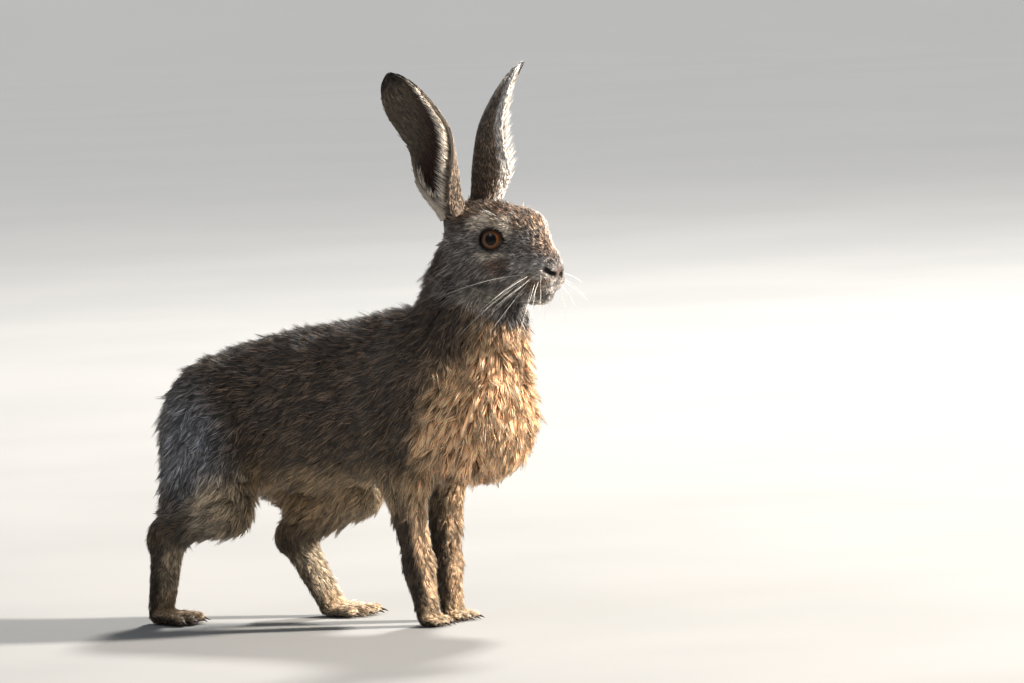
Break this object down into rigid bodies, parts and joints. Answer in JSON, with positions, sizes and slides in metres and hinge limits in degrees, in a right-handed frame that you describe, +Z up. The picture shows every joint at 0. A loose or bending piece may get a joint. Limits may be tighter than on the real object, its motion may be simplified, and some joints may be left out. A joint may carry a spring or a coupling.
{
  "type": "brown hare",
  "caption": "Life-size still model of a young brown hare in mid step, standing tall on four legs with its ears up.",
  "frame": {"origin": "on the floor, under the middle of the box round the whole hare", "axes": "+X the way the trunk faces, +Y the hare's left, +Z up, feet on z = 0"},
  "size_m": [0.2922, 0.098, 0.3307],
  "materials": {
    "body_coat": "damp shaggy fur, black-brown with buff tips, pale buff beneath",
    "head_coat": "short speckled fur, grey cheeks, pale ring round the eye",
    "ear_coat": "short dark fur, black tip, cream fringe along the front edge",
    "leg_coat": "short fur, rufous in front and dark behind, pinkish buff on the hind feet",
    "tail_coat": "black fur above, white beneath",
    "eye": "wet, amber brown with a large black pupil"
  },
  "bodies": {
    "root": {"head": "head_coat", "neck": "body_coat", "torso": "body_coat", "tail": "tail_coat", "ear_right": "ear_coat", "ear_left": "ear_coat", "eye_right": "eye", "eye_left": "eye", "thigh_right": "body_coat", "thigh_left": "body_coat", "shank_right": "leg_coat", "shank_left": "leg_coat", "hind_foot_right": "leg_coat", "hind_foot_left": "leg_coat", "foreleg_right": "leg_coat", "foreleg_left": "leg_coat", "forepaw_right": "leg_coat", "forepaw_left": "leg_coat"}
  },
  "joints": []
}
